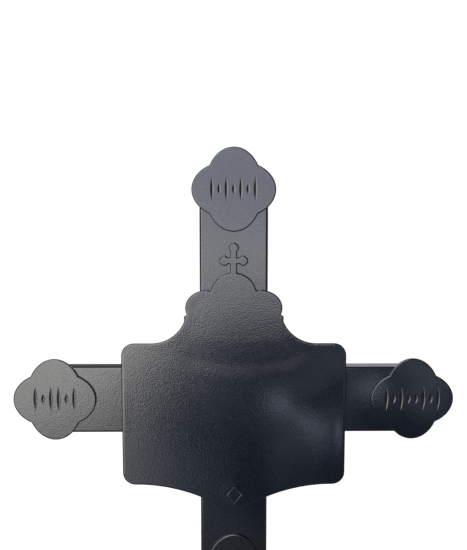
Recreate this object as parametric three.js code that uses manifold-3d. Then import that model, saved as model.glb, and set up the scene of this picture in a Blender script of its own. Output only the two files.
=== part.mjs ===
// A black powder-coated steel grave cross: a flat rectangular post and two arms, a quatrefoil
// medallion on each end, a fourth one on the post below the crossing, and a shield-shaped name
// plaque over the crossing with a small cross on its crown. X runs across, Z up and the front
// faces -Y. The origin is the middle of the foot, where the post is cut off at the ground.
import * as THREE from "three";
import { mergeVertices } from "three/addons/utils/BufferGeometryUtils.js";
import Module from "manifold-3d";

// Bars, all of one rectangular section, in millimetres like every length here
const BAR_WIDTH = 80;
const BAR_DEPTH = 20;
const BAR_EDGE_RADIUS = 3;
const CROSSING_HEIGHT = 700; // the arms' centre line above the ground
const BAR_PAST_MEDALLION_CENTRE = 10; // how far a bar runs on behind its medallion
const BARE_ARM = 30.2; // arm left bare between the plaque and a side medallion
const BARE_POST_ABOVE = 13; // post left bare between the small cross and the top medallion
const BARE_POST_BELOW = 25.2; // post left bare between the plaque's point and the lower medallion

// Medallions
const MEDALLION_THICKNESS = 3;
const LOBE_OFFSET = 8.3; // a lobe's centre from the medallion's centre
const LOBE_LENGTH = 40.8; // a lobe's half length, outwards
const LOBE_BREADTH = 32.1; // a lobe's half breadth
const SIDE_MEDALLION_RISE = 1.2; // a side medallion's centre above the arms' centre line

// Sunk strokes in the place of the inscriptions
const STROKE_DEPTH = 0.8;
const STROKE_WIDTH = 4.6;
const STROKE_HEIGHT = 29.5;
const SHORT_STROKE_HEIGHT = 13;
const STROKE_RISE = 0.6; // the row's middle above the medallion's centre
const TOP_ROW = { strokes: 7, length: 55 };
const LEFT_ROW = { strokes: 6, length: 50.5 };
const RIGHT_ROW = { strokes: 8, length: 66 };
const LOWER_ROW = { strokes: 6, length: 50.5 };

// Plaque: the shield's body
const PLAQUE_THICKNESS = 3;
const PLAQUE_WIDTH = 266.6;
const BODY_RISE = 68.8; // the body's top edge above the crossing
const BODY_DROP = 104.3; // the body's lower edge below the crossing
const CORNER_RADIUS = 15;
const TIP_DROP = 38; // the point, were it sharp, below the body's lower edge
const TIP_RADIUS = 9;

// Plaque: the shoulders, the collar, the two ears and the crown above the body
const NECK_RADIUS = 42.6;
const NECK_SWEEP = THREE.MathUtils.degToRad(66.7);
const COLLAR_WIDTH = 117.4;
const COLLAR_HEIGHT = 8.2;
const COLLAR_EDGE_RADIUS = 3.2;
const EAR_SPACING = 66; // between the two ears' centres
const EAR_RISE = 8.3; // the ears' centres above the collar
const EAR_HALF_LENGTH = 24.2;
const EAR_HALF_HEIGHT = 21;
const CROWN_RADIUS = 27.5;
const CROWN_RISE = 14.4; // the crown's centre above the ears' centres

// Plaque: the small cross on the crown, and the sunk lozenge near the tip
const SMALL_CROSS_RISE = 14; // its centre above the crown's top
const SMALL_BAR_WIDTH = 7.8;
const SMALL_ARM_NECK = 7; // from its centre to where a side arm widens into a bud
const SMALL_TOP_NECK = 11.3; // the same, for the top arm
const BUD_LENGTH = 9.7;
const BUD_WIDTH = 12.2;
const BUD_WIDEST_AT = 0.42; // share of a bud's length at which it is widest
const BUD_TIP_WIDTH = 3.6;
const LOZENGE_WIDTH = 19;
const LOZENGE_HEIGHT = 25;
const LOZENGE_BAND = 2.4;
const LOZENGE_RISE = 25; // its centre above the plaque's point
const LOZENGE_DEPTH = 0.5;

// How finely round stretches are faceted, and how far a cut stands out of what it cuts
const ARC_STEPS = 10;
const ROUND_STEPS = 30;
const EDGE_STEPS = 3;
const STROKE_STEPS = 7;
const CUT_OVERSHOOT = 1;

// Places that follow from the sizes
const medallionReach = LOBE_OFFSET + LOBE_LENGTH;
const frontFace = -BAR_DEPTH / 2;
const collarFoot = BODY_RISE + NECK_RADIUS * (1 - Math.cos(NECK_SWEEP));
const earLevel = collarFoot + COLLAR_HEIGHT + EAR_RISE;
const crownTop = earLevel + CROWN_RISE + CROWN_RADIUS;
const smallCrossLevel = crownTop + SMALL_CROSS_RISE;
const plaqueTop = smallCrossLevel + SMALL_TOP_NECK + BUD_LENGTH;
const tipLevel = -BODY_DROP - TIP_DROP;
const sideReach = PLAQUE_WIDTH / 2 + BARE_ARM + medallionReach;
const topRise = plaqueTop + BARE_POST_ABOVE + medallionReach;
const lowerRise = tipLevel - BARE_POST_BELOW - medallionReach;

const blackCoat = { color: 0x1c1e23, roughness: 0.42, metalness: 0.15 };

const wasm = await Module();
wasm.setup();

function solidFrom(geometry) {
  const bare = geometry.clone();
  bare.deleteAttribute("normal");
  bare.deleteAttribute("uv");
  const merged = mergeVertices(bare);
  return new wasm.Manifold(
    new wasm.Mesh({
      numProp: 3,
      vertProperties: merged.attributes.position.array,
      triVerts: new Uint32Array(merged.index.array),
    }),
  );
}

function geometryFrom(solid) {
  const mesh = solid.getMesh();
  const indexed = new THREE.BufferGeometry();
  indexed.setAttribute("position", new THREE.BufferAttribute(mesh.vertProperties, 3));
  indexed.setIndex(new THREE.BufferAttribute(mesh.triVerts, 1));
  const geometry = indexed.toNonIndexed();
  geometry.computeVertexNormals();
  return geometry;
}

function extrude(shape, depth, steps, from = 0) {
  const geometry = new THREE.ExtrudeGeometry(shape, { depth, bevelEnabled: false, curveSegments: steps });
  return geometry.translate(0, 0, from);
}

function namedMesh(name, geometry) {
  const mesh = new THREE.Mesh(geometry, new THREE.MeshStandardMaterial(blackCoat));
  mesh.name = name;
  return mesh;
}

// A bar's section, its width along X and its depth along Y, with rolled edges
function barSection() {
  const x = BAR_WIDTH / 2 - BAR_EDGE_RADIUS;
  const y = BAR_DEPTH / 2 - BAR_EDGE_RADIUS;
  const corners = [[x, y], [-x, y], [-x, -y], [x, -y]];
  const shape = new THREE.Shape();
  corners.forEach(([cx, cy], i) => {
    const start = (i * Math.PI) / 2;
    shape.absarc(cx, cy, BAR_EDGE_RADIUS, start, start + Math.PI / 2, false);
  });
  return shape;
}

function makePost() {
  const length = CROSSING_HEIGHT + topRise + BAR_PAST_MEDALLION_CENTRE;
  return namedMesh("post", extrude(barSection(), length, EDGE_STEPS));
}

// An arm butts against the post's side and ends behind its medallion; side is -1 or 1
function makeArm(name, side) {
  const start = BAR_WIDTH / 2;
  const length = sideReach + BAR_PAST_MEDALLION_CENTRE - start;
  const arm = namedMesh(name, extrude(barSection(), length, EDGE_STEPS));
  arm.rotation.y = (side * Math.PI) / 2;
  arm.position.set(side * start, 0, CROSSING_HEIGHT);
  return arm;
}

// Four lobes, each an elliptical arc that ends where it meets its neighbour on the diagonal
function quatrefoil() {
  const span = Math.hypot(LOBE_LENGTH, LOBE_BREADTH);
  const halfSweep = Math.atan2(LOBE_LENGTH, LOBE_BREADTH) + Math.asin(LOBE_OFFSET / span);
  const shape = new THREE.Shape();
  for (let lobe = 0; lobe < 4; lobe++) {
    const turn = (lobe * Math.PI) / 2;
    const x = LOBE_OFFSET * Math.cos(turn);
    const y = LOBE_OFFSET * Math.sin(turn);
    shape.absellipse(x, y, LOBE_LENGTH, LOBE_BREADTH, -halfSweep, halfSweep, false, turn);
  }
  return shape;
}

// An upright stroke, pointed at both ends
function stroke(x, height) {
  const top = STROKE_RISE + height / 2;
  const bottom = STROKE_RISE - height / 2;
  const shape = new THREE.Shape();
  shape.moveTo(x, bottom);
  shape.quadraticCurveTo(x + STROKE_WIDTH, STROKE_RISE, x, top);
  shape.quadraticCurveTo(x - STROKE_WIDTH, STROKE_RISE, x, bottom);
  return shape;
}

// A row of upright strokes, the same from both ends, tall ones taking turns with short ones
function strokeRow({ strokes, length }) {
  const pitch = (length - STROKE_WIDTH) / (strokes - 1);
  return Array.from({ length: strokes }, (_, i) => {
    const fromEnd = Math.min(i, strokes - 1 - i);
    const height = fromEnd % 2 === 0 ? STROKE_HEIGHT : SHORT_STROKE_HEIGHT;
    return stroke((i - (strokes - 1) / 2) * pitch, height);
  });
}

// Sinks shapes into the front of a plate of the given thickness
function sink(plate, shapes, thickness, depth, steps) {
  return shapes.reduce((left, shape) => {
    const cutter = extrude(shape, depth + CUT_OVERSHOOT, steps, thickness - depth);
    return left.subtract(solidFrom(cutter));
  }, plate);
}

// A plate is drawn in X and Y, then stood up against the bars' front
function standPlate(name, solid, x, level) {
  const plate = namedMesh(name, geometryFrom(solid));
  plate.rotation.x = Math.PI / 2;
  plate.position.set(x, frontFace, CROSSING_HEIGHT + level);
  return plate;
}

function makeMedallion(name, row, x, level) {
  const blank = solidFrom(extrude(quatrefoil(), MEDALLION_THICKNESS, ARC_STEPS));
  const cut = sink(blank, strokeRow(row), MEDALLION_THICKNESS, STROKE_DEPTH, STROKE_STEPS);
  return standPlate(name, cut, x, level);
}

// The shield's body: rounded corners, and two long hollow arcs below that meet in a rounded point
function bodyOutline() {
  const right = PLAQUE_WIDTH / 2 - CORNER_RADIUS;
  const top = BODY_RISE - CORNER_RADIUS;
  const bottom = CORNER_RADIUS - BODY_DROP;
  const sweepRadius = (right * right + TIP_DROP * TIP_DROP) / (2 * TIP_DROP);
  const sweepLevel = -BODY_DROP - sweepRadius;
  const tipRise = Math.sqrt((sweepRadius + TIP_RADIUS) ** 2 - right * right);
  const sweepEnd = Math.atan2(tipRise, right);
  const quarter = Math.PI / 2;
  const shape = new THREE.Shape();
  shape.absarc(right, top, CORNER_RADIUS, 0, quarter, false);
  shape.absarc(-right, top, CORNER_RADIUS, quarter, 2 * quarter, false);
  shape.absarc(-right, bottom, CORNER_RADIUS, 2 * quarter, 3 * quarter, false);
  shape.absarc(-right, sweepLevel, sweepRadius, quarter, sweepEnd, true);
  shape.absarc(0, sweepLevel + tipRise, TIP_RADIUS, sweepEnd + Math.PI, 2 * Math.PI - sweepEnd, false);
  shape.absarc(right, sweepLevel, sweepRadius, Math.PI - sweepEnd, quarter, true);
  shape.absarc(right, bottom, CORNER_RADIUS, 3 * quarter, 4 * quarter, false);
  return shape;
}

// Hollow shoulders that sweep up from the body's top edge to the collar
function shoulderOutline() {
  const collar = COLLAR_WIDTH / 2;
  const foot = collar + NECK_RADIUS * Math.sin(NECK_SWEEP);
  const centre = BODY_RISE + NECK_RADIUS;
  const down = -Math.PI / 2;
  const corner = collar - COLLAR_EDGE_RADIUS;
  const cornerLevel = collarFoot + COLLAR_HEIGHT - COLLAR_EDGE_RADIUS;
  const shape = new THREE.Shape();
  shape.moveTo(-foot, 0);
  shape.lineTo(foot, 0);
  shape.absarc(foot, centre, NECK_RADIUS, down, down - NECK_SWEEP, true);
  shape.absarc(corner, cornerLevel, COLLAR_EDGE_RADIUS, 0, Math.PI / 2, false);
  shape.absarc(-corner, cornerLevel, COLLAR_EDGE_RADIUS, Math.PI / 2, Math.PI, false);
  shape.absarc(-foot, centre, NECK_RADIUS, down + NECK_SWEEP, down, true);
  return shape;
}

function ellipse(x, y, halfWidth, halfHeight) {
  return new THREE.Shape().absellipse(x, y, halfWidth, halfHeight, 0, 2 * Math.PI, false, 0);
}

// One arm of the small cross along +X, a straight bar that widens into a bud with a blunt tip
function budArm(neck) {
  const bar = SMALL_BAR_WIDTH / 2;
  const widest = neck + BUD_LENGTH * BUD_WIDEST_AT;
  const tip = neck + BUD_LENGTH;
  const half = BUD_WIDTH / 2;
  const blunt = BUD_TIP_WIDTH / 2;
  const shape = new THREE.Shape();
  shape.moveTo(0, -bar);
  shape.lineTo(neck, -bar);
  shape.quadraticCurveTo((neck + widest) / 2, -half, widest, -half);
  shape.quadraticCurveTo((widest + tip) / 2, -half, tip, -blunt);
  shape.lineTo(tip, blunt);
  shape.quadraticCurveTo((widest + tip) / 2, half, widest, half);
  shape.quadraticCurveTo((neck + widest) / 2, half, neck, bar);
  shape.lineTo(0, bar);
  return shape;
}

function smallCross() {
  const arms = [
    { neck: SMALL_ARM_NECK, turn: 0 },
    { neck: SMALL_TOP_NECK, turn: Math.PI / 2 },
    { neck: SMALL_ARM_NECK, turn: Math.PI },
  ];
  const solids = arms.map(({ neck, turn }) => {
    const arm = extrude(budArm(neck), PLAQUE_THICKNESS, EDGE_STEPS);
    return solidFrom(arm.rotateZ(turn).translate(0, smallCrossLevel, 0));
  });
  const stem = new THREE.Shape();
  const half = SMALL_BAR_WIDTH / 2;
  stem.moveTo(-half, crownTop - CROWN_RADIUS);
  stem.lineTo(half, crownTop - CROWN_RADIUS);
  stem.lineTo(half, smallCrossLevel + half);
  stem.lineTo(-half, smallCrossLevel + half);
  return [...solids, solidFrom(extrude(stem, PLAQUE_THICKNESS, EDGE_STEPS))];
}

function lozenge(width, height) {
  const level = tipLevel + LOZENGE_RISE;
  const path = new THREE.Shape();
  path.moveTo(width / 2, level);
  path.lineTo(0, level + height / 2);
  path.lineTo(-width / 2, level);
  path.lineTo(0, level - height / 2);
  path.closePath();
  return path;
}

function makePlaque() {
  const swept = [bodyOutline(), shoulderOutline()];
  const round = [
    ellipse(-EAR_SPACING / 2, earLevel, EAR_HALF_LENGTH, EAR_HALF_HEIGHT),
    ellipse(EAR_SPACING / 2, earLevel, EAR_HALF_LENGTH, EAR_HALF_HEIGHT),
    ellipse(0, crownTop - CROWN_RADIUS, CROWN_RADIUS, CROWN_RADIUS),
  ];
  const pieces = [
    ...swept.map((outline) => solidFrom(extrude(outline, PLAQUE_THICKNESS, ARC_STEPS))),
    ...round.map((outline) => solidFrom(extrude(outline, PLAQUE_THICKNESS, ROUND_STEPS))),
    ...smallCross(),
  ];
  const blank = pieces.reduce((joined, piece) => joined.add(piece));
  const band = lozenge(LOZENGE_WIDTH, LOZENGE_HEIGHT);
  const share = 1 - (2 * LOZENGE_BAND) / LOZENGE_WIDTH;
  band.holes.push(lozenge(LOZENGE_WIDTH * share, LOZENGE_HEIGHT * share));
  const cut = sink(blank, [band], PLAQUE_THICKNESS, LOZENGE_DEPTH, EDGE_STEPS);
  return standPlate("plaque", cut, 0, 0);
}

const graveCross = new THREE.Group();
graveCross.add(
  makePost(),
  makeArm("arm_left", -1),
  makeArm("arm_right", 1),
  makeMedallion("medallion_top", TOP_ROW, 0, topRise),
  makeMedallion("medallion_left", LEFT_ROW, -sideReach, SIDE_MEDALLION_RISE),
  makeMedallion("medallion_right", RIGHT_ROW, sideReach, SIDE_MEDALLION_RISE),
  makeMedallion("medallion_lower", LOWER_ROW, 0, lowerRise),
  makePlaque(),
);

export default graveCross;
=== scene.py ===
"""Black powder-coated metal grave cross: bars, four-lobed medallions, a shield plaque and its welds."""

import math

import bmesh
import bpy
from bpy.props import FloatProperty, FloatVectorProperty, IntProperty, PointerProperty
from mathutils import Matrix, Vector
from mathutils.kdtree import KDTree


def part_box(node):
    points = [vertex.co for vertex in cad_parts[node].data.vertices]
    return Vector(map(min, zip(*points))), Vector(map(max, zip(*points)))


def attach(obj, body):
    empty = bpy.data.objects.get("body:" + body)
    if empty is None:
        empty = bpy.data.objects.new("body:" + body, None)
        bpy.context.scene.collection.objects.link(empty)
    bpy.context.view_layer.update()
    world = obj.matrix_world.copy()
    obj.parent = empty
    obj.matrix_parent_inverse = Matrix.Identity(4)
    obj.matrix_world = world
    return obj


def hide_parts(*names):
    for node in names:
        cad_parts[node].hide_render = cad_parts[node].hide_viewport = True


bl_info = {
    "name": "Metal grave cross",
    "version": (1, 0, 0),
    "blender": (4, 5, 0),
    "location": "View3D > Sidebar > Grave Cross",
    "description": "Builds a powder-coated grave cross of flat bars, medallions and a shield plaque",
    "category": "Object",
}

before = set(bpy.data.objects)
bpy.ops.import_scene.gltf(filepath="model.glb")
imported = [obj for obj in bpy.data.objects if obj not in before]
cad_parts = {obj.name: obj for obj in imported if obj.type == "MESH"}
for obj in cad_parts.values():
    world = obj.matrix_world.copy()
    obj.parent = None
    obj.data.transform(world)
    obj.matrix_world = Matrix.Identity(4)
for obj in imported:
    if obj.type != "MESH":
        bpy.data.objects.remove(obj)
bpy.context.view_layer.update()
PLATE_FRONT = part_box("plaque")[0].y
PLATE_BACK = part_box("plaque")[1].y
BAR_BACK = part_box("post")[1].y
ARM_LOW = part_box("arm_left")[0].z
ARM_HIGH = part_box("arm_left")[1].z
POST_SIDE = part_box("post")[1].x
FLAT_TOLERANCE = 2e-5
SIDES = ((-1, "left"), (1, "right"))


class GraveCrossBars(bpy.types.PropertyGroup):
    """Sizes of the post and the two arms"""

    edge_radius: FloatProperty(
        name="Edge radius", description="Rolled radius of the bars' long edges",
        default=0.003, min=0.0005, max=0.008, unit="LENGTH",
    )
    edge_steps: IntProperty(
        name="Edge steps", description="Faces round each rolled edge", default=8, min=2, max=24,
    )
    end_rounding: FloatProperty(
        name="End rounding", description="Radius of the coated edge round a cut end",
        default=0.0006, min=0.0001, max=0.003, unit="LENGTH",
    )
    cap_inset: FloatProperty(
        name="Cap inset", description="Wall left round the cap that closes a bar's end",
        default=0.0017, min=0.0005, max=0.002, unit="LENGTH",
    )
    cap_depth: FloatProperty(
        name="Cap depth", description="How far the cap sits back from the bar's end",
        default=0.0005, min=0.0, max=0.003, unit="LENGTH",
    )


class GraveCrossPlates(bpy.types.PropertyGroup):
    """Sizes of the finish on the medallions and the plaque"""

    rim_radius: FloatProperty(
        name="Rim radius", description="Rounding of a plate's front outline under the coat",
        default=0.0016, min=0.0001, max=0.002, unit="LENGTH",
    )
    back_radius: FloatProperty(
        name="Back radius", description="Rounding of a plate's back outline",
        default=0.0004, min=0.0001, max=0.0014, unit="LENGTH",
    )
    stroke_slope: FloatProperty(
        name="Stroke slope", description="Width of the sloped walls of the sunk strokes and the lozenge",
        default=0.0015, min=0.0001, max=0.0018, unit="LENGTH",
    )
    stroke_wall: FloatProperty(
        name="Stroke wall", description="Height of the upright wall left at a stroke's rim",
        default=0.00012, min=0.00002, max=0.0004, unit="LENGTH",
    )
    grid_step: FloatProperty(
        name="Grid step", description="Width of the faces on the plaque's front",
        default=0.0025, min=0.002, max=0.02, unit="LENGTH",
    )
    weld_dent: FloatProperty(
        name="Weld dent", description="Depth of the plaque's shallow hollows over the welds behind it",
        default=0.00028, min=0.0, max=0.001, unit="LENGTH",
    )
    waviness: FloatProperty(
        name="Waviness", description="Depth of the plaque's broad unevenness",
        default=0.00016, min=0.0, max=0.001, unit="LENGTH",
    )


class GraveCrossWelds(bpy.types.PropertyGroup):
    """Sizes of the weld beads on the back"""

    bead_radius: FloatProperty(
        name="Bead radius", description="Radius of the beads that hold the plates to the bars",
        default=0.0019, min=0.0005, max=0.004, unit="LENGTH",
    )
    seam_radius: FloatProperty(
        name="Seam radius", description="Radius of the beads in the joints of the arms and the post",
        default=0.0026, min=0.0005, max=0.004, unit="LENGTH",
    )
    ripple_pitch: FloatProperty(
        name="Ripple pitch", description="Distance between two ripples of a bead",
        default=0.0021, min=0.001, max=0.006, unit="LENGTH",
    )


class GraveCrossCoat(bpy.types.PropertyGroup):
    """Colours and finish of the powder coat"""

    dark: FloatVectorProperty(
        name="Coat colour", description="Colour of the powder coat",
        default=(0.0020, 0.0028, 0.0050), min=0.0, max=1.0, subtype="COLOR",
    )
    haze: FloatVectorProperty(
        name="Haze colour", description="Colour of the coat where it is slightly hazed",
        default=(0.0040, 0.0048, 0.0078), min=0.0, max=1.0, subtype="COLOR",
    )
    roughness: FloatProperty(
        name="Roughness", description="Middle roughness of the semi-gloss coat",
        default=0.10, min=0.05, max=0.9, subtype="FACTOR",
    )
    specular: FloatProperty(
        name="Gloss", description="Strength of the coat's reflection",
        default=0.5, min=0.0, max=1.0, subtype="FACTOR",
    )
    grain_size: FloatProperty(
        name="Grain size", description="Width of the leathery bumps of the coat",
        default=0.00135, min=0.0005, max=0.01, unit="LENGTH",
    )
    grain_depth: FloatProperty(
        name="Grain depth", description="Height of the leathery bumps of the coat",
        default=0.00009, min=0.0, max=0.0005, unit="LENGTH",
    )


class GraveCrossStage(bpy.types.PropertyGroup):
    """Floor, light and camera"""

    paper: FloatVectorProperty(
        name="Floor colour", description="Colour of the pale floor",
        default=(0.93, 0.93, 0.93), min=0.0, max=1.0, subtype="COLOR",
    )
    sky: FloatProperty(
        name="Room light", description="Brightness of the white room round the cross",
        default=1.1, min=0.0, max=10.0,
    )
    screen_top: FloatVectorProperty(
        name="Screen top", description="Light of the front screen's upper part",
        default=(3.9, 4.1, 4.9), min=0.0, max=20.0, subtype="COLOR",
    )
    screen_middle: FloatVectorProperty(
        name="Screen middle", description="Light of the front screen just under its upper part",
        default=(5.0, 5.1, 5.35), min=0.0, max=20.0, subtype="COLOR",
    )
    screen_left: FloatVectorProperty(
        name="Screen left", description="Light of the front screen's left part",
        default=(6.7, 6.6, 6.4), min=0.0, max=20.0, subtype="COLOR",
    )
    screen_dark: FloatVectorProperty(
        name="Screen dark", description="Light of the front screen's dark part",
        default=(0.04, 0.07, 0.15), min=0.0, max=20.0, subtype="COLOR",
    )
    screen_right: FloatVectorProperty(
        name="Screen right", description="Light of the front screen's far right part",
        default=(0.36, 0.38, 0.42), min=0.0, max=20.0, subtype="COLOR",
    )
    screen_cloud: FloatVectorProperty(
        name="Screen clouds", description="Light of the soft clouds in the screen's dark part",
        default=(3.2, 3.6, 4.5), min=0.0, max=20.0, subtype="COLOR",
    )
    back_light: FloatProperty(
        name="Back light", description="Power of a square metre of the soft light behind the cross, in watts",
        default=10.0, min=0.0, max=500.0,
    )
    lens: FloatProperty(
        name="Lens", description="Focal length of the camera",
        default=58.91, min=20.0, max=300.0, unit="CAMERA",
    )
    eye: FloatVectorProperty(
        name="Camera place", description="Where the camera stands",
        default=(-0.01105, -1.05515, 0.98731), subtype="TRANSLATION", unit="LENGTH",
    )
    look: FloatVectorProperty(
        name="Camera direction", description="Unit direction in which the camera looks",
        default=(0.010136, 0.991441, -0.130163), subtype="DIRECTION",
    )


class GraveCrossSettings(bpy.types.PropertyGroup):
    """All settings of the grave cross"""

    bars: PointerProperty(type=GraveCrossBars)
    plates: PointerProperty(type=GraveCrossPlates)
    welds: PointerProperty(type=GraveCrossWelds)
    coat: PointerProperty(type=GraveCrossCoat)
    stage: PointerProperty(type=GraveCrossStage)


def settings():
    return bpy.context.scene.grave_cross


def deselect_all():
    if bpy.context.mode != "OBJECT":
        bpy.ops.object.mode_set(mode="OBJECT")
    bpy.ops.object.select_all(action="DESELECT")


def take(piece):
    """Makes one object the only selected and the active one."""
    deselect_all()
    piece.select_set(True)
    bpy.context.view_layer.objects.active = piece


def edit(piece, mode="FACE"):
    take(piece)
    bpy.ops.object.mode_set(mode="EDIT")
    bpy.ops.mesh.select_mode(type=mode)


def select_where(piece, kind, test):
    """Selects in edit mode the verts, edges or faces that pass the test, and gives their number."""
    work = bmesh.from_edit_mesh(piece.data)
    work.normal_update()
    for group in (work.verts, work.edges, work.faces):
        for part in group:
            part.select = False
    chosen = [part for part in getattr(work, kind) if test(part)]
    for part in chosen:
        part.select_set(True)
    if kind == "verts":
        work.select_flush(True)
    bmesh.update_edit_mesh(piece.data)
    return len(chosen)


def object_mode():
    bpy.ops.object.mode_set(mode="OBJECT")


def finish_piece(piece, coat, *nodes):
    """Shades a piece, coats it and ties it to the cross."""
    take(piece)
    bpy.ops.object.shade_smooth_by_angle(angle=math.radians(40))
    level = piece.modifiers.new("weighted_normals", "WEIGHTED_NORMAL")
    level.mode = "FACE_AREA"
    level.weight = 60
    level.keep_sharp = True
    bpy.ops.object.modifier_apply(modifier=level.name)
    piece.data.materials.clear()
    piece.data.materials.append(coat)
    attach(piece, "root")
    if nodes:
        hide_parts(*nodes)
    return piece


def apply_place(piece):
    take(piece)
    bpy.ops.object.transform_apply(location=True, rotation=True, scale=True)


def ramp_stops(ramp, stops):
    """Sets a colour ramp's stops from pairs of place and colour."""
    while len(ramp.elements) > 1:
        ramp.elements.remove(ramp.elements[-1])
    ramp.elements[0].position = stops[0][0]
    ramp.elements[0].color = (*stops[0][1], 1.0)
    for place, colour in stops[1:]:
        ramp.elements.new(place).color = (*colour, 1.0)


def map_range(nodes, link, source, start, stop, low, high, kind="LINEAR"):
    """Maps a value that runs from start to stop to one that runs from low to high."""
    step = nodes.new("ShaderNodeMapRange")
    step.interpolation_type = kind
    step.inputs["From Min"].default_value = start
    step.inputs["From Max"].default_value = stop
    step.inputs["To Min"].default_value = low
    step.inputs["To Max"].default_value = high
    link(source, step.inputs["Value"])
    return step.outputs["Result"]


def fade(nodes, link, source, start, stop, low=0.0, high=1.0):
    """A smooth step from low at start to high at stop."""
    return map_range(nodes, link, source, start, stop, low, high, "SMOOTHSTEP")


def combine(nodes, link, operation, first, second):
    """One sum, product or other result of two values, either of which may be a plain number."""
    result = nodes.new("ShaderNodeMath")
    result.operation = operation
    for socket, value in zip(result.inputs, (first, second)):
        if isinstance(value, (int, float)):
            socket.default_value = value
        else:
            link(value, socket)
    return result.outputs["Value"]


def blend_colours(nodes, link, factor, first, second):
    """The first colour at factor 0 and the second at 1, each either linked or plain."""
    mix = nodes.new("ShaderNodeMix")
    mix.data_type = "RGBA"
    link(factor, mix.inputs["Factor"])
    for socket, value in ((mix.inputs["A"], first), (mix.inputs["B"], second)):
        if isinstance(value, tuple):
            socket.default_value = (*value, 1.0)
        else:
            link(value, socket)
    return mix.outputs["Result"]


def add_noise(nodes, link, place, scale, detail, roughness=0.5):
    """A noise over a place; it gives the noise's height and its colour."""
    noise = nodes.new("ShaderNodeTexNoise")
    noise.inputs["Scale"].default_value = scale
    noise.inputs["Detail"].default_value = detail
    noise.inputs["Roughness"].default_value = roughness
    link(place, noise.inputs["Vector"])
    return noise.outputs["Fac"], noise.outputs["Color"]


def split_place(nodes, link, place):
    """The X, Y and Z of a place."""
    parts = nodes.new("ShaderNodeSeparateXYZ")
    link(place, parts.inputs["Vector"])
    return parts.outputs["X"], parts.outputs["Y"], parts.outputs["Z"]


def coat_colour(nodes, link, place, leather):
    """Dark paint with a soft haze and rare specks of dust, with painted shade in the grain's hollows and a
    painted highlight on its bumps.
    """
    coat = settings().coat
    haze_scale, speck_scale = 11.0, 130.0
    speck_edge, speck_core, speck_strength = 0.055, 0.02, 0.5
    rarity = 0.86
    dust_colour = (0.10, 0.10, 0.105)
    cloud, _ = add_noise(nodes, link, place, haze_scale, 4.0, 0.55)
    tint = nodes.new("ShaderNodeValToRGB")
    ramp_stops(tint.color_ramp, [(0.35, tuple(coat.dark)), (0.75, tuple(coat.haze))])
    link(cloud, tint.inputs["Fac"])
    speck = nodes.new("ShaderNodeTexVoronoi")
    speck.inputs["Scale"].default_value = speck_scale
    link(place, speck.inputs["Vector"])
    tone = nodes.new("ShaderNodeSeparateColor")
    link(speck.outputs["Color"], tone.inputs["Color"])
    dust = map_range(nodes, link, speck.outputs["Distance"], speck_edge, speck_core, 0.0, speck_strength)
    rare = combine(nodes, link, "GREATER_THAN", tone.outputs["Red"], rarity)
    amount = combine(nodes, link, "MULTIPLY", dust, rare)
    paint = blend_colours(nodes, link, amount, tint.outputs["Color"], dust_colour)
    # Painted shade and highlight: the paint is darkened where the grain's bump height is low and lightened
    # where it is high.
    grain_shaded_paint = nodes.new("ShaderNodeVectorMath")
    grain_shaded_paint.operation = "SCALE"
    link(paint, grain_shaded_paint.inputs[0])
    link(map_range(nodes, link, leather, 0.30, 0.70, 0.80, 1.20), grain_shaded_paint.inputs["Scale"])
    return grain_shaded_paint.outputs["Vector"]


def coat_gloss(nodes, link, place, rough):
    """The coat's slightly uneven roughness."""
    gloss_scale, spread = 34.0, 0.02
    middle = settings().coat.roughness + rough
    gloss, _ = add_noise(nodes, link, place, gloss_scale, 3.0)
    return map_range(nodes, link, gloss, 0.25, 0.75, middle - spread, middle + spread)


def grain_strength(nodes, link, coordinates):
    """How strong the grain is: weak on rounded edges and calm on the right below the crown."""
    calm_most, edge_least = 0.82, 0.15
    x, _, z = split_place(nodes, link, coordinates.outputs["Object"])
    calm = fade(nodes, link, x, -0.03, 0.07, 0.0, calm_most)
    calm = combine(nodes, link, "MULTIPLY", calm, fade(nodes, link, z, 0.80, 0.72))
    largest = 0.0
    for part in split_place(nodes, link, coordinates.outputs["Normal"]):
        size = combine(nodes, link, "ABSOLUTE", part, 0.0)
        largest = combine(nodes, link, "MAXIMUM", largest, size)
    flat = fade(nodes, link, largest, 0.85, 0.98, edge_least, 1.0)
    kept = combine(nodes, link, "SUBTRACT", 1.0, calm)
    return combine(nodes, link, "MULTIPLY", kept, flat)


def coat_normal(nodes, link, coordinates, place, leather, grain):
    """The leathery grain over a broader swell."""
    coat = settings().coat
    swell_scale, swell_share = 0.24, 0.3
    swell, _ = add_noise(nodes, link, place, swell_scale / coat.grain_size, 1.0)
    lift = nodes.new("ShaderNodeBump")
    lift.inputs["Strength"].default_value = 1.0
    lift.inputs["Distance"].default_value = coat.grain_depth * swell_share * grain
    link(swell, lift.inputs["Height"])
    bump = nodes.new("ShaderNodeBump")
    bump.inputs["Distance"].default_value = coat.grain_depth * grain
    link(leather, bump.inputs["Height"])
    link(grain_strength(nodes, link, coordinates), bump.inputs["Strength"])
    link(lift.outputs["Normal"], bump.inputs["Normal"])
    return bump.outputs["Normal"]


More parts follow.
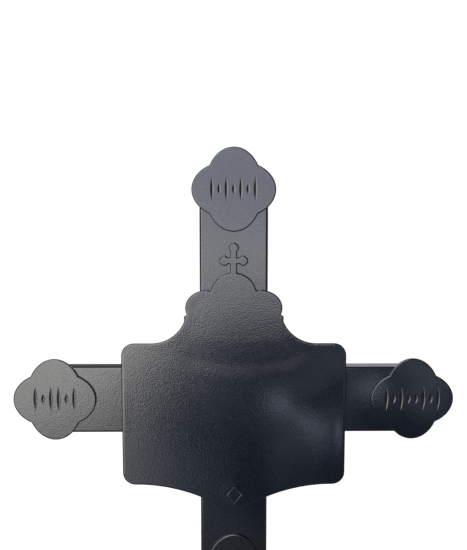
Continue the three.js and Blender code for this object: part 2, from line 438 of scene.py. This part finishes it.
def powder_coat(name, grain=1.0, rough=0.0):
    """A semi-gloss black powder coat with a leathery grain, slight haze and slightly uneven gloss."""
    if name in bpy.data.materials:
        return bpy.data.materials[name]
    coat = settings().coat
    material = bpy.data.materials.new(name)
    material.use_nodes = True
    nodes = material.node_tree.nodes
    link = material.node_tree.links.new
    shader = nodes["Principled BSDF"]
    coordinates = nodes.new("ShaderNodeTexCoord")
    place = coordinates.outputs["Object"]
    turn = nodes.new("ShaderNodeMapping")
    turn.inputs["Rotation"].default_value = (0.7, 0.5, 0.9)
    link(place, turn.inputs["Vector"])
    turned = turn.outputs["Vector"]
    leather, _ = add_noise(nodes, link, turned, 1.0 / coat.grain_size, 0.0)
    link(coat_colour(nodes, link, place, leather), shader.inputs["Base Color"])
    link(coat_gloss(nodes, link, place, rough), shader.inputs["Roughness"])
    link(coat_normal(nodes, link, coordinates, turned, leather, grain), shader.inputs["Normal"])
    shader.inputs["Specular IOR Level"].default_value = coat.specular
    return material


def floor_paper():
    """A matt pale floor with a faint mottle."""
    mottle_scale, darker = 3.0, 0.99
    material = bpy.data.materials.new("pale_floor")
    material.use_nodes = True
    nodes = material.node_tree.nodes
    link = material.node_tree.links.new
    shader = nodes["Principled BSDF"]
    shader.inputs["Roughness"].default_value = 0.85
    shader.inputs["Specular IOR Level"].default_value = 0.0
    place = nodes.new("ShaderNodeTexCoord").outputs["Object"]
    mottle, _ = add_noise(nodes, link, place, mottle_scale, 2.0)
    tint = nodes.new("ShaderNodeValToRGB")
    pale = tuple(settings().stage.paper)
    ramp_stops(tint.color_ramp, [(0.3, tuple(part * darker for part in pale)), (0.7, pale)])
    link(mottle, tint.inputs["Fac"])
    link(tint.outputs["Color"], shader.inputs["Base Color"])
    return material


def glow_material(name):
    """An empty glowing material, its nodes and its glow."""
    material = bpy.data.materials.new(name)
    material.use_nodes = True
    nodes = material.node_tree.nodes
    nodes.remove(nodes["Principled BSDF"])
    glow = nodes.new("ShaderNodeEmission")
    material.node_tree.links.new(glow.outputs["Emission"], nodes["Material Output"].inputs["Surface"])
    return material, nodes, glow


def card_cloth(name, shade):
    """One dim even tone for a card."""
    material, _, glow = glow_material(name)
    glow.inputs["Color"].default_value = (*shade, 1.0)
    return material


def floor_card_cloth(name, near_shade, far_shade, start, stop):
    """A dim tone that turns as bright as the floor towards the back."""
    material, nodes, glow = glow_material(name)
    link = material.node_tree.links.new
    place = nodes.new("ShaderNodeTexCoord").outputs["Object"]
    _, depth, _ = split_place(nodes, link, place)
    share = fade(nodes, link, depth, start, stop)
    link(blend_colours(nodes, link, share, near_shade, far_shade), glow.inputs["Color"])
    return material


def soft_spot(nodes, link, place, centre, turn, radii):
    """1 inside a soft ellipse on the screen and 0 outside it."""
    edge = 0.45
    ellipse = nodes.new("ShaderNodeMapping")
    ellipse.vector_type = "TEXTURE"
    ellipse.inputs["Location"].default_value = (centre[0], 0.0, centre[1])
    ellipse.inputs["Rotation"].default_value = (0.0, math.radians(turn), 0.0)
    ellipse.inputs["Scale"].default_value = (radii[0], 1000.0, radii[1])
    link(place, ellipse.inputs["Vector"])
    length = nodes.new("ShaderNodeVectorMath")
    length.operation = "LENGTH"
    link(ellipse.outputs["Vector"], length.inputs[0])
    return fade(nodes, link, length.outputs["Value"], 1.0 + edge, 1.0 - edge)


# Each spot on the screen has a centre, a turn in degrees, two radii and a strength.
CLOUDS = (
    ((0.164, 0.342), 31.5, (0.102, 0.021), 0.64),
    ((0.095, 0.400), 10.0, (0.055, 0.036), 0.07),
    ((0.268, 0.448), -15.0, (0.055, 0.030), 0.08),
    ((0.362, 0.410), -35.0, (0.030, 0.020), 0.50),
    ((0.540, 0.377), 0.0, (0.050, 0.090), 0.08),
    ((0.330, 0.306), 0.0, (0.030, 0.026), 0.06),
    ((0.110, 0.235), 0.0, (0.035, 0.090), 0.15),
    ((-0.110, 0.195), 10.0, (0.100, 0.050), 0.48),
    ((-0.070, 0.040), 0.0, (0.100, 0.060), 0.36),
)
HOLES = (
    ((0.205, 0.382), -18.0, (0.066, 0.032), 0.98),
    ((0.256, 0.418), -35.0, (0.042, 0.022), 0.95),
    ((0.030, 0.238), 0.0, (0.048, 0.060), 0.95),
    ((0.248, 0.180), 0.0, (0.080, 0.035), 0.70),
    ((0.480, 0.300), 0.0, (0.090, 0.045), 0.70),
    ((0.330, 0.370), 30.0, (0.050, 0.024), 0.70),
)


def warped_place(nodes, link, place):
    """The place, pushed about by a noise so that the spots on the screen lose their round outlines."""
    warp_scale, amplitude = 9.0, 0.10
    _, warp = add_noise(nodes, link, place, warp_scale, 4.0)
    shift = nodes.new("ShaderNodeVectorMath")
    shift.operation = "MULTIPLY_ADD"
    shift.inputs[1].default_value = (amplitude, 0.0, amplitude)
    link(warp, shift.inputs[0])
    link(place, shift.inputs[2])
    centred = nodes.new("ShaderNodeVectorMath")
    centred.operation = "SUBTRACT"
    centred.inputs[1].default_value = (amplitude / 2, 0.0, amplitude / 2)
    link(shift.outputs["Vector"], centred.inputs[0])
    return centred.outputs["Vector"]


def screen_brightness(nodes, link, x, z):
    """1 on the screen's upper and left parts and 0 towards the lower right."""
    rise_span, rise_most = (0.0, -0.22), 0.17
    top_span, high_span, right_limit = (0.475, 0.770), (0.92, 1.06), (0.34, 0.19)
    left_span, left_lean, left_drop = (-0.13, -0.33), -0.35, -0.095
    low_span, low_light = (0.30, 0.49), 0.37
    far_span, far_light = (-1.50, -0.85), 0.45
    rise = fade(nodes, link, x, *rise_span, 0.0, rise_most)
    top = fade(nodes, link, combine(nodes, link, "ADD", z, rise), *top_span)
    top = combine(nodes, link, "MULTIPLY", top, fade(nodes, link, x, *right_limit))
    high = fade(nodes, link, z, *high_span)
    high = combine(nodes, link, "MULTIPLY", high, fade(nodes, link, x, *right_limit))
    top = combine(nodes, link, "MAXIMUM", top, high)
    lean = combine(nodes, link, "MULTIPLY", x, left_lean)
    height = combine(nodes, link, "ADD", combine(nodes, link, "ADD", lean, left_drop), z)
    left = fade(nodes, link, x, *left_span)
    left = combine(nodes, link, "MULTIPLY", left, fade(nodes, link, height, *low_span, low_light, 1.0))
    bright = combine(nodes, link, "MAXIMUM", top, left)
    return combine(nodes, link, "MULTIPLY", bright, fade(nodes, link, x, *far_span, far_light, 1.0))


def screen_clouds(nodes, link, place, z):
    """Soft clouds in the screen's dark part, with darker holes in them."""
    noise_scale, noise_span = 7.0, (0.40, 0.70)
    thinnest, thickest = 0.03, 0.32
    low_span, low_share = (0.14, 0.42), 0.35
    warped = warped_place(nodes, link, place)
    noise, _ = add_noise(nodes, link, warped, noise_scale, 5.0, 0.6)
    cloud = fade(nodes, link, noise, *noise_span, thinnest, thickest)
    for centre, turn, radii, amount in CLOUDS:
        spot = soft_spot(nodes, link, warped, centre, turn, radii)
        cloud = combine(nodes, link, "ADD", cloud, combine(nodes, link, "MULTIPLY", spot, amount))
    for centre, turn, radii, amount in HOLES:
        spot = soft_spot(nodes, link, warped, centre, turn, radii)
        kept = combine(nodes, link, "SUBTRACT", 1.0, combine(nodes, link, "MULTIPLY", spot, amount))
        cloud = combine(nodes, link, "MULTIPLY", cloud, kept)
    return combine(nodes, link, "MULTIPLY", cloud, fade(nodes, link, z, *low_span, low_share, 1.0))


def screen_cloth():
    """The front screen: bright above and on the left, dark with soft clouds towards the lower right."""
    stage = settings().stage
    upper_span, left_span, right_span = (0.70, 0.90), (-0.05, -0.30), (0.75, 1.05)
    mottle_scale, mottle_span = 26.0, (0.30, 0.70)
    dimmest, brightest = 0.66, 1.34
    material, nodes, glow = glow_material("screen_cloth")
    link = material.node_tree.links.new
    place = nodes.new("ShaderNodeTexCoord").outputs["Object"]
    x, _, z = split_place(nodes, link, place)
    upwards = fade(nodes, link, z, *upper_span)
    upper_colour = blend_colours(
        nodes, link, upwards, tuple(stage.screen_middle), tuple(stage.screen_top),
    )
    leftwards = fade(nodes, link, x, *left_span)
    bright_colour = blend_colours(nodes, link, leftwards, upper_colour, tuple(stage.screen_left))
    dark_colour = blend_colours(
        nodes, link, screen_clouds(nodes, link, place, z),
        tuple(stage.screen_dark), tuple(stage.screen_cloud),
    )
    far_right = fade(nodes, link, x, *right_span)
    dark_colour = blend_colours(nodes, link, far_right, dark_colour, tuple(stage.screen_right))
    bright = screen_brightness(nodes, link, x, z)
    link(blend_colours(nodes, link, bright, dark_colour, bright_colour), glow.inputs["Color"])
    mottle, _ = add_noise(nodes, link, place, mottle_scale, 2.0)
    link(fade(nodes, link, mottle, *mottle_span, dimmest, brightest), glow.inputs["Strength"])
    return material


def add_card(name, corners, cloth):
    """Stands a flat card with four corners where only the coat's mirror sees it."""
    deselect_all()
    bpy.ops.mesh.primitive_plane_add(size=1.0)
    card = bpy.context.active_object
    card.name = name
    for vertex, corner in zip(card.data.vertices, corners):
        vertex.co = corner
    card.data.materials.append(cloth)
    card.visible_camera = False
    card.visible_diffuse = False
    card.visible_shadow = False


def add_flat_card(name, x_range, y_range, z, cloth):
    """A card that lies level."""
    corners = [(x, y, z) for y in y_range for x in x_range]
    add_card(name, corners, cloth)


def add_facing_card(name, x_range, y, z_range, cloth):
    """A card that stands across the view from the front."""
    corners = [(x, y, z) for z in z_range for x in x_range]
    add_card(name, corners, cloth)


def add_side_card(name, x, y_range, z_range, cloth):
    """A card that stands along the view from the front."""
    corners = [(x, y, z) for z in z_range for y in y_range]
    add_card(name, corners, cloth)


def add_soft_light(name, centre, aim, width, height, power, colour):
    """Hangs a rectangular soft light that points at a place, its power given for a square metre."""
    deselect_all()
    bpy.ops.object.light_add(type="AREA", location=centre)
    light = bpy.context.active_object
    light.name = name
    light.rotation_euler = (Vector(aim) - Vector(centre)).to_track_quat("-Z", "Y").to_euler()
    light.data.shape = "RECTANGLE"
    light.data.size = width
    light.data.size_y = height
    light.data.energy = power * width * height
    light.data.color = colour
    light.visible_camera = False


def add_white_room(scene):
    """An even white light from all sides."""
    world = bpy.data.worlds.new("white_room")
    world.use_nodes = True
    background = world.node_tree.nodes["Background"]
    background.inputs["Color"].default_value = (1.0, 1.0, 1.0, 1.0)
    background.inputs["Strength"].default_value = settings().stage.sky
    world.cycles.sampling_method = "NONE"
    scene.world = world


def add_floor():
    deselect_all()
    bpy.ops.mesh.primitive_plane_add(size=30.0)
    floor = bpy.context.active_object
    floor.name = "pale_floor"
    floor.data.materials.append(floor_paper())


def add_cards():
    """Sets up the box of cards whose reflections give the black coat its light and dark parts."""
    side, top = 1.6, 2.3
    front, middle, back = -1.16, 0.9, 2.6
    back_low, back_gap = 0.45, 0.5
    whole_width = (-side, side)
    add_facing_card("front_screen", whole_width, front, (0.0, top), screen_cloth())
    floor_cloth = floor_card_cloth("floor_card_cloth", (0.30, 0.30, 0.32), (1.0, 1.0, 1.0), 0.25, 1.25)
    add_flat_card("floor_card", whole_width, (front, 1.3), 0.004, floor_cloth)

    side_shades = {"left": (0.20, 0.20, 0.20), "right": (0.25, 0.25, 0.27)}
    back_shades = {"left": (0.13, 0.13, 0.13), "right": (0.08, 0.08, 0.09)}
    for mark, name in SIDES:
        x = mark * side
        side_cloth = card_cloth(f"{name}_side_cloth", side_shades[name])
        back_cloth = card_cloth(f"{name}_back_cloth", back_shades[name])
        add_side_card(f"{name}_card", x, (front, middle), (0.0, top), side_cloth)
        add_side_card(f"{name}_back_card", x, (middle, back), (back_low, top), back_cloth)
        add_facing_card(f"{name}_end_card", (x, mark * back_gap), back, (back_low, top), back_cloth)

    bright_end, dark_end, bright_back, short_back = 0.10, 0.30, -0.20, 0.15
    overhead_cloth = card_cloth("overhead_cloth", (0.12, 0.12, 0.14))
    bright_cloth = card_cloth("overhead_bright_cloth", (4.4, 4.4, 4.3))
    add_flat_card("overhead_left_card", (-side, dark_end), (bright_back, back), top, overhead_cloth)
    add_flat_card("overhead_front_card", (bright_end, dark_end), (front, bright_back), top, overhead_cloth)
    add_flat_card("overhead_bright_card", (-side, bright_end), (front, bright_back), top, bright_cloth)
    add_flat_card("overhead_right_card", (dark_end, side), (front, short_back), top, overhead_cloth)

    left_cloth = card_cloth("arm_left_back_cloth", (0.22, 0.22, 0.23))
    right_cloth = card_cloth("arm_right_back_cloth", (0.78, 0.82, 0.92))
    add_facing_card("arm_left_back_card", (-1.3, -0.03), middle, (0.80, 1.25), left_cloth)
    add_facing_card("arm_right_back_card", (0.40, 1.20), 2.5, (1.05, 1.70), right_cloth)


def add_camera(scene):
    stage = settings().stage
    deselect_all()
    bpy.ops.object.camera_add(location=tuple(stage.eye))
    camera = bpy.context.active_object
    camera.name = "photo_camera"
    camera.rotation_euler = Vector(stage.look).to_track_quat("-Z", "Y").to_euler()
    camera.data.lens = stage.lens
    camera.data.sensor_width = 36.0
    camera.data.clip_start = 0.05
    camera.data.clip_end = 60.0
    scene.camera = camera


class GRAVECROSS_OT_make_stage(bpy.types.Operator):
    """Lays the pale floor, hangs the soft light, stands the cards and sets up the camera"""

    bl_idname = "gravecross.make_stage"
    bl_label = "Stage"

    def execute(self, context):
        stage = settings().stage
        scene = context.scene
        scene.view_settings.view_transform = "Standard"
        scene.cycles.use_denoising = False
        add_white_room(scene)
        add_floor()
        add_soft_light(
            "soft_back", centre=(0.9, 1.9, 2.3), aim=(0.0, 0.0, 0.7), width=1.4, height=1.0,
            power=stage.back_light, colour=(0.94, 0.97, 1.0),
        )
        add_cards()
        add_camera(scene)
        return {"FINISHED"}


def long_edges(axis):
    """A test for the straight edges that run along one axis."""
    def test(edge):
        run = edge.verts[1].co - edge.verts[0].co
        return abs(run[axis]) > 0.99 * run.length
    return test


def end_face(axis, place):
    """A test for the flat face at one end of a bar."""
    def test(face):
        return abs(face.normal[axis]) > 0.99 and abs(face.calc_center_median()[axis] - place) < 1e-4
    return test


def end_edges(axis, place):
    """A test for the edges round one end of a bar."""
    def test(edge):
        return all(abs(vertex.co[axis] - place) < 1e-5 for vertex in edge.verts)
    return test


def make_bar(name, node, axis, closed_ends, cut_ends, coat):
    """A length of flat bar with rolled edges; a closed end gets a cap, a cut end stays flat."""
    sizes = settings().bars
    cap_gap = 0.0004
    low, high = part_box(node)
    deselect_all()
    bpy.ops.mesh.primitive_cube_add(size=1.0, location=(low + high) / 2, scale=high - low)
    bar = bpy.context.active_object
    bar.name = name
    apply_place(bar)
    edit(bar, "EDGE")
    select_where(bar, "edges", long_edges(axis))
    bpy.ops.mesh.bevel(offset=sizes.edge_radius, segments=sizes.edge_steps, profile=0.5, affect="EDGES")
    for place in closed_ends + cut_ends:
        select_where(bar, "edges", end_edges(axis, place))
        bpy.ops.mesh.bevel(offset=sizes.end_rounding, segments=3, profile=0.5, affect="EDGES")
    bpy.ops.mesh.select_mode(type="FACE")
    for place in closed_ends:
        select_where(bar, "faces", end_face(axis, place))
        bpy.ops.mesh.inset(thickness=sizes.cap_inset, depth=0.0)
        bpy.ops.mesh.inset(thickness=cap_gap, depth=-sizes.cap_depth)
    object_mode()
    return finish_piece(bar, coat, node)


class GRAVECROSS_OT_make_bars(bpy.types.Operator):
    """Makes the post and the two arms"""

    bl_idname = "gravecross.make_bars"
    bl_label = "Post and arms"

    def execute(self, context):
        coat = powder_coat("bar_powder_coat", grain=0.9)
        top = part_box("post")[1].z
        make_bar("post_bar", "post", 2, [top], [0.0], coat)
        make_bar("arm_left_bar", "arm_left", 0, [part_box("arm_left")[0].x], [], coat)
        make_bar("arm_right_bar", "arm_right", 0, [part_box("arm_right")[1].x], [], coat)
        return {"FINISHED"}


def copy_plate(name, node):
    """Copies a plate's CAD mesh as a piece of its own, merged into whole faces."""
    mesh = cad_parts[node].data.copy()
    plate = bpy.data.objects.new(name, mesh)
    bpy.context.scene.collection.objects.link(plate)
    edit(plate, "VERT")
    bpy.ops.mesh.select_all(action="SELECT")
    bpy.ops.mesh.customdata_custom_splitnormals_clear()
    bpy.ops.mesh.remove_doubles(threshold=0.00001)
    bpy.ops.mesh.dissolve_limited(angle_limit=math.radians(0.6))
    bpy.ops.mesh.select_mode(type="EDGE")
    return plate


def on_front(edge):
    return all(abs(vertex.co.y - PLATE_FRONT) < FLAT_TOLERANCE for vertex in edge.verts)


def on_back(edge):
    return all(abs(vertex.co.y - PLATE_BACK) < FLAT_TOLERANCE for vertex in edge.verts)


def turns_sharply(edge):
    return len(edge.link_faces) == 2 and edge.calc_face_angle(0.0) > math.radians(60)


def meets_full_wall(edge):
    """True where one of the edge's faces runs through the plate's whole thickness."""
    for face in edge.link_faces:
        depths = [vertex.co.y for vertex in face.verts]
        if max(depths) - min(depths) > 0.8 * (PLATE_BACK - PLATE_FRONT):
            return True
    return False


def front_rim(edge):
    return on_front(edge) and turns_sharply(edge) and meets_full_wall(edge)


def back_rim(edge):
    return on_back(edge) and turns_sharply(edge)


def inside_plate(depth):
    """True well between a plate's front and its back."""
    margin = 2e-4
    return PLATE_FRONT + margin < depth < PLATE_BACK - margin


def stroke_floor(face):
    """True for the flat floor of a sunk stroke."""
    return face.normal.y < -0.999 and inside_plate(face.calc_center_median().y)


def stroke_foot(vertex):
    """True where a stroke's upright wall meets its floor."""
    return inside_plate(vertex.co.y) and any(abs(face.normal.y) < 0.1 for face in vertex.link_faces)


def stroke_depth(plate):
    """How deep the selected floors lie under the plate's front."""
    work = bmesh.from_edit_mesh(plate.data)
    return next(face.calc_center_median().y for face in work.faces if face.select) - PLATE_FRONT


def slope_strokes(plate):
    """Turns the upright walls of what is sunk into a plate into slopes that catch the light."""
    sizes = settings().plates
    bpy.ops.mesh.select_mode(type="FACE")
    if not select_where(plate, "faces", stroke_floor):
        return
    depth = stroke_depth(plate)
    bpy.ops.mesh.inset(thickness=sizes.stroke_slope, depth=0.0)
    bpy.ops.mesh.select_mode(type="VERT")
    select_where(plate, "verts", stroke_foot)
    bpy.ops.transform.translate(value=(0.0, sizes.stroke_wall - depth, 0.0))
    bpy.ops.mesh.select_mode(type="EDGE")


def round_plate(plate):
    """Rounds a plate's outlines and slopes the walls of what is sunk into it."""
    sizes = settings().plates
    if not select_where(plate, "edges", front_rim):
        raise RuntimeError(f"{plate.name} has no front outline")
    bpy.ops.mesh.bevel(offset=sizes.rim_radius, segments=6, profile=0.5, affect="EDGES", loop_slide=False)
    select_where(plate, "edges", back_rim)
    bpy.ops.mesh.bevel(offset=sizes.back_radius, segments=2, profile=0.5, affect="EDGES", loop_slide=False)
    slope_strokes(plate)


MEDALLIONS = ("medallion_top", "medallion_left", "medallion_right", "medallion_lower")


class GRAVECROSS_OT_make_medallions(bpy.types.Operator):
    """Makes the four-lobed medallions with their rows of sunk strokes"""

    bl_idname = "gravecross.make_medallions"
    bl_label = "Medallions"

    def execute(self, context):
        coat = powder_coat("plate_powder_coat")
        for node in MEDALLIONS:
            plate = copy_plate(node + "_plate", node)
            round_plate(plate)
            object_mode()
            finish_piece(plate, coat, node)
        return {"FINISHED"}


def faces_front(face):
    return face.normal.y < -0.999 and abs(face.calc_center_median().y - PLATE_FRONT) < FLAT_TOLERANCE


def cut_grid(plate, axis, start, stop, step):
    """Cuts the plate's front into strips across one axis."""
    normal = [0.0, 0.0, 0.0]
    normal[axis] = 1.0
    place = start
    while place < stop:
        select_where(plate, "faces", faces_front)
        centre = [0.0, 0.0, 0.0]
        centre[axis] = place
        bpy.ops.mesh.bisect(plane_co=centre, plane_no=normal)
        place += step


def soft_step(value, start, stop):
    """0 before start and 1 after stop, smooth in between."""
    share = max(0.0, min(1.0, (value - start) / (stop - start)))
    return share * share * (3.0 - 2.0 * share)


def plaque_hollow(x, z):
    """Depth from 0 to 1 of the hollow that the welds over the arms left in the plaque's front."""
    centre_x, half_width = 0.010, 0.075
    lip_height, lip_curve = 0.739, 0.0125
    wall_top, wall_height = 0.031, 0.025
    side = (x - centre_x) / half_width
    above = z - (lip_height + lip_curve * side * side)
    lip = soft_step(above, -0.015, 0.007)
    wall = max(0.0, min(1.0, (wall_top - above) / wall_height))
    return lip * wall * soft_step(abs(side), 1.15, 0.70)


def plaque_wave(x, z):
    """Broad unevenness from 0 to 1 of the plaque's front."""
    return 0.5 + 0.25 * math.sin(41.0 * x + 13.0 * z + 0.6) + 0.25 * math.sin(17.0 * x - 52.0 * z + 2.1)


def outline_tree(plate):
    """A search tree of the points where the plate's flat front ends."""
    work = bmesh.new()
    work.from_mesh(plate.data)
    edge = [
        vertex.co.copy() for vertex in work.verts
        if abs(vertex.co.y - PLATE_FRONT) < FLAT_TOLERANCE
        and any(face.normal.y > -0.999 for face in vertex.link_faces)
    ]
    work.free()
    tree = KDTree(len(edge))
    for index, point in enumerate(edge):
        tree.insert(point, index)
    tree.balance()
    return tree


class GRAVECROSS_OT_make_plaque(bpy.types.Operator):
    """Makes the shield plaque with its crown and the small cross on top"""

    bl_idname = "gravecross.make_plaque"
    bl_label = "Plaque"

    def execute(self, context):
        sizes = settings().plates
        grid_low, grid_top, edge_width = 0.004, 0.835, 0.012
        low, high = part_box("plaque")
        plate = copy_plate("name_plaque", "plaque")
        round_plate(plate)
        bpy.ops.mesh.select_mode(type="FACE")
        cut_grid(plate, 0, low.x + 0.5 * sizes.grid_step, high.x, sizes.grid_step)
        cut_grid(plate, 2, low.z + grid_low, grid_top, sizes.grid_step)
        object_mode()
        outline = outline_tree(plate)
        for vertex in plate.data.vertices:
            if abs(vertex.co.y - PLATE_FRONT) > FLAT_TOLERANCE:
                continue
            x, z = vertex.co.x, vertex.co.z
            share = soft_step(outline.find(vertex.co)[2], 0.0, edge_width)
            depth = sizes.weld_dent * plaque_hollow(x, z) + sizes.waviness * plaque_wave(x, z)
            vertex.co.y += depth * share
        plate.data.update()
        finish_piece(plate, powder_coat("plate_powder_coat"), "plaque")
        return {"FINISHED"}


def make_bead(name, start, end, radius, coat):
    """A rippled weld bead along a straight joint, tapered at both ends."""
    pitch = settings().welds.ripple_pitch
    cuts_a_ripple, end_run, thinnest = 4, 1.6, 0.05
    ripple, sweep, stray = 0.12, 0.18, 0.06
    start, end = Vector(start), Vector(end)
    run = end - start
    steps = max(8, round(run.length / (pitch / cuts_a_ripple)))
    deselect_all()
    bpy.ops.mesh.primitive_cylinder_add(vertices=14, radius=radius, depth=run.length, end_fill_type="TRIFAN")
    bead = bpy.context.active_object
    bead.name = name
    edit(bead, "FACE")
    for step in range(1, steps):
        bpy.ops.mesh.select_all(action="SELECT")
        height = -run.length / 2 + run.length * step / steps
        bpy.ops.mesh.bisect(plane_co=(0.0, 0.0, height), plane_no=(0.0, 0.0, 1.0))
    object_mode()
    for vertex in bead.data.vertices:
        x, y, z = vertex.co
        along = z + run.length / 2
        phase = (along / pitch + sweep * math.sin(y / radius + 1.3 * x / radius)) % 1.0
        swell = 1.0 - ripple + ripple * math.sin(math.pi * phase) ** 0.6
        near_end = min(along, run.length - along) / (end_run * radius)
        taper = math.sqrt(max(0.0, 1.0 - (1.0 - min(1.0, near_end)) ** 2))
        wander = stray * radius * math.sin(along * 410.0)
        vertex.co.x = x * swell * max(taper, thinnest) + wander
        vertex.co.y = y * swell * max(taper, thinnest)
    bead.location = (start + end) / 2
    bead.rotation_euler = run.to_track_quat("Z", "Y").to_euler()
    apply_place(bead)
    return finish_piece(bead, coat)


# Beads along the post's sides, with their lower and upper ends.
UPRIGHT_BEADS = (
    ("plaque_upper", 0.752, 0.764),
    ("plaque_lower", 0.612, 0.640),
    ("top", 0.9415, 0.9585),
    ("lower", 0.4735, 0.4935),
)
# Beads along the arms' tops and undersides, with their near and far ends.
LEVEL_BEADS = (
    ("arm", 0.085, 0.113),
    ("end", 0.2040, 0.2200),
)


class GRAVECROSS_OT_make_welds(bpy.types.Operator):
    """Lays the weld beads behind the plates and in the joints at the back"""

    bl_idname = "gravecross.make_welds"
    bl_label = "Welds"

    def execute(self, context):
        sizes = settings().welds
        coat = powder_coat("weld_powder_coat", grain=0.6, rough=0.05)
        seam, bead = sizes.seam_radius, sizes.bead_radius
        seam_y = BAR_BACK - seam - 0.0001
        plate_y = PLATE_BACK + 0.0009
        seam_overlap, seam_margin, bead_gap = 0.0004, 0.002, 0.0004
        for mark, name in SIDES:
            x = mark * (POST_SIDE - seam_overlap)
            start = (x, seam_y, ARM_LOW + seam_margin)
            end = (x, seam_y, ARM_HIGH - seam_margin)
            make_bead(f"seam_{name}", start, end, seam, coat)
        for mark, name in SIDES:
            x = mark * (POST_SIDE + bead_gap)
            for title, low, high in UPRIGHT_BEADS:
                make_bead(f"bead_{title}_{name}", (x, plate_y, low), (x, plate_y, high), bead, coat)
            for title, near, far in LEVEL_BEADS:
                for level, z in (("top", ARM_HIGH + bead_gap), ("low", ARM_LOW - bead_gap)):
                    start = (mark * near, plate_y, z)
                    end = (mark * far, plate_y, z)
                    make_bead(f"bead_{title}_{level}_{name}", start, end, bead, coat)
        return {"FINISHED"}


class GRAVECROSS_PT_panel(bpy.types.Panel):
    """Lists the cross's settings and the operators that build it"""

    bl_idname = "GRAVECROSS_PT_panel"
    bl_label = "Grave Cross"
    bl_space_type = "VIEW_3D"
    bl_region_type = "UI"
    bl_category = "Grave Cross"

    def draw(self, context):
        layout = self.layout
        groups = settings()
        for title, group in (
            ("Bars", groups.bars),
            ("Plates", groups.plates),
            ("Welds", groups.welds),
            ("Coat", groups.coat),
            ("Stage", groups.stage),
        ):
            box = layout.box()
            box.label(text=title)
            for name in group.__annotations__:
                box.prop(group, name)
        for step in STEPS:
            layout.operator(step.bl_idname)


STEPS = (
    GRAVECROSS_OT_make_stage,
    GRAVECROSS_OT_make_bars,
    GRAVECROSS_OT_make_medallions,
    GRAVECROSS_OT_make_plaque,
    GRAVECROSS_OT_make_welds,
)
CLASSES = (
    GraveCrossBars,
    GraveCrossPlates,
    GraveCrossWelds,
    GraveCrossCoat,
    GraveCrossStage,
    GraveCrossSettings,
    *STEPS,
    GRAVECROSS_PT_panel,
)


def register():
    for each in CLASSES:
        bpy.utils.register_class(each)
    bpy.types.Scene.grave_cross = PointerProperty(type=GraveCrossSettings)


def unregister():
    del bpy.types.Scene.grave_cross
    for each in reversed(CLASSES):
        bpy.utils.unregister_class(each)


def main():
    register()
    bpy.ops.gravecross.make_stage()
    bpy.ops.gravecross.make_bars()
    bpy.ops.gravecross.make_medallions()
    bpy.ops.gravecross.make_plaque()
    bpy.ops.gravecross.make_welds()
    deselect_all()


if __name__ == "__main__":
    main()
